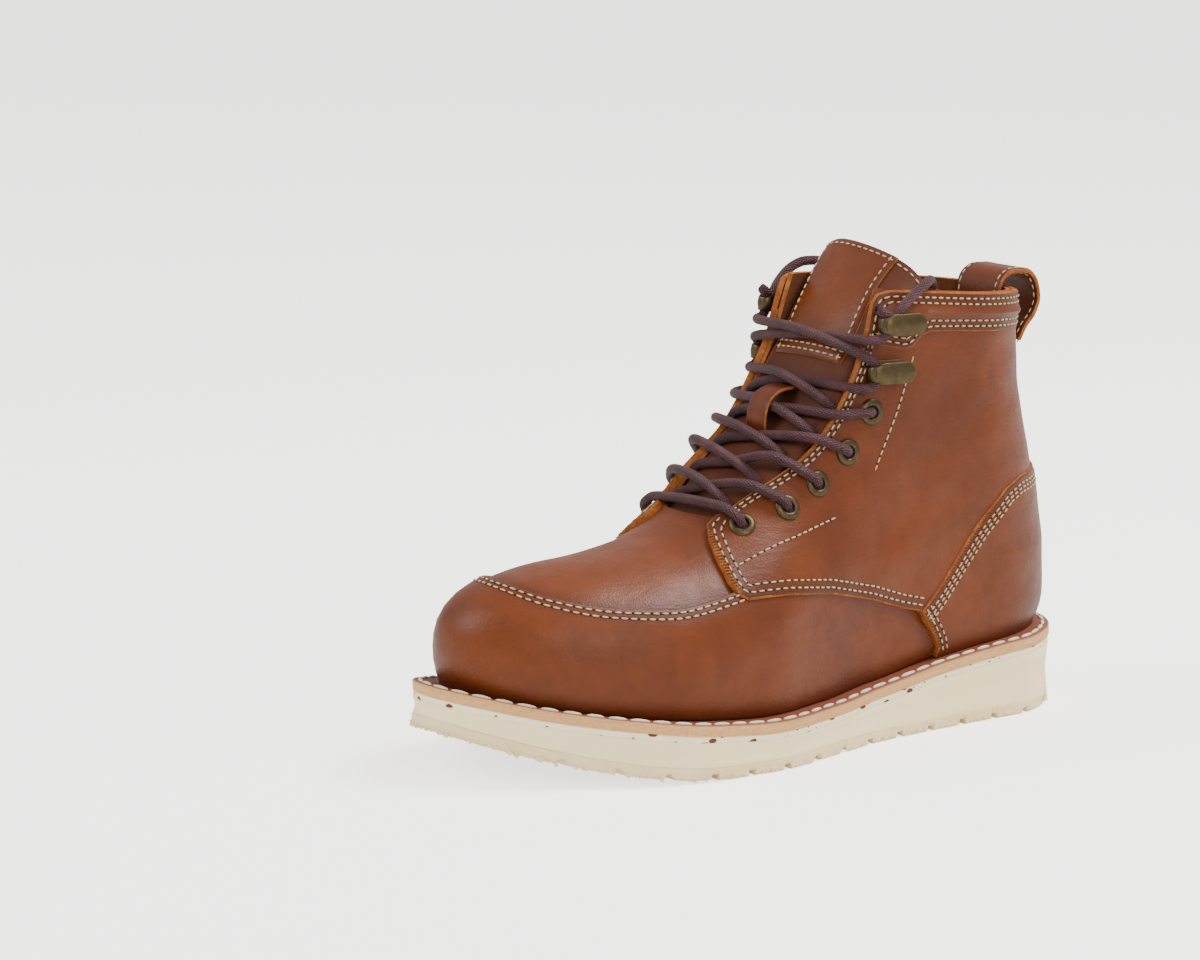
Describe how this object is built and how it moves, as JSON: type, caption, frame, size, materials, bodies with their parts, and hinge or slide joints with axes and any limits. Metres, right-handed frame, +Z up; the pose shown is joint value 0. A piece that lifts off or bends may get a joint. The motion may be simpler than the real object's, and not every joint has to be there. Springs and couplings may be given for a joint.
{
  "type": "wedge sole work boot",
  "caption": "Ankle-high lace-up work boot with a stitched moc toe, welted flat wedge sole, padded collar, eyelets and lace hooks, and a rear pull loop.",
  "frame": {"origin": "on the floor under the middle of the outsole's box", "axes": "-Y towards the toe, +X towards the outer side of the left foot, +Z up"},
  "size_m": [0.1122, 0.305, 0.1886],
  "materials": {
    "upper_leather": "smooth waxed tan brown, semi-gloss",
    "insole_leather": "matte",
    "welt_leather": "natural edge, matte",
    "band_rubber": "matte with specks",
    "wedge_rubber": "matte",
    "tread_rubber": "matte",
    "brass": "antique, satin",
    "lace_braid": "waxed round braid"
  },
  "bodies": {
    "root": {"tread": "tread_rubber", "wedge": "wedge_rubber", "midsole_band": "band_rubber", "welt": "welt_leather", "insole": "insole_leather", "upper": "upper_leather", "quarter_lateral": "upper_leather", "quarter_medial": "upper_leather", "counter": "upper_leather", "collar": "upper_leather", "toe_wall": "upper_leather", "tongue": "upper_leather", "lace_keeper": "upper_leather", "pull_loop": "upper_leather", "eyelet_lateral_1": "brass", "eyelet_lateral_2": "brass", "eyelet_lateral_3": "brass", "eyelet_lateral_4": "brass", "eyelet_lateral_5": "brass", "eyelet_medial_1": "brass", "eyelet_medial_2": "brass", "eyelet_medial_3": "brass", "eyelet_medial_4": "brass", "eyelet_medial_5": "brass", "hook_lateral_1": "brass", "hook_lateral_2": "brass", "hook_medial_1": "brass", "hook_medial_2": "brass", "lace_bar": "lace_braid", "lace_cross_1": "lace_braid", "lace_cross_2": "lace_braid", "lace_cross_3": "lace_braid", "lace_cross_4": "lace_braid", "lace_cross_5": "lace_braid", "lace_cross_6": "lace_braid", "lace_end_lateral": "lace_braid", "lace_end_medial": "lace_braid"}
  },
  "joints": []
}
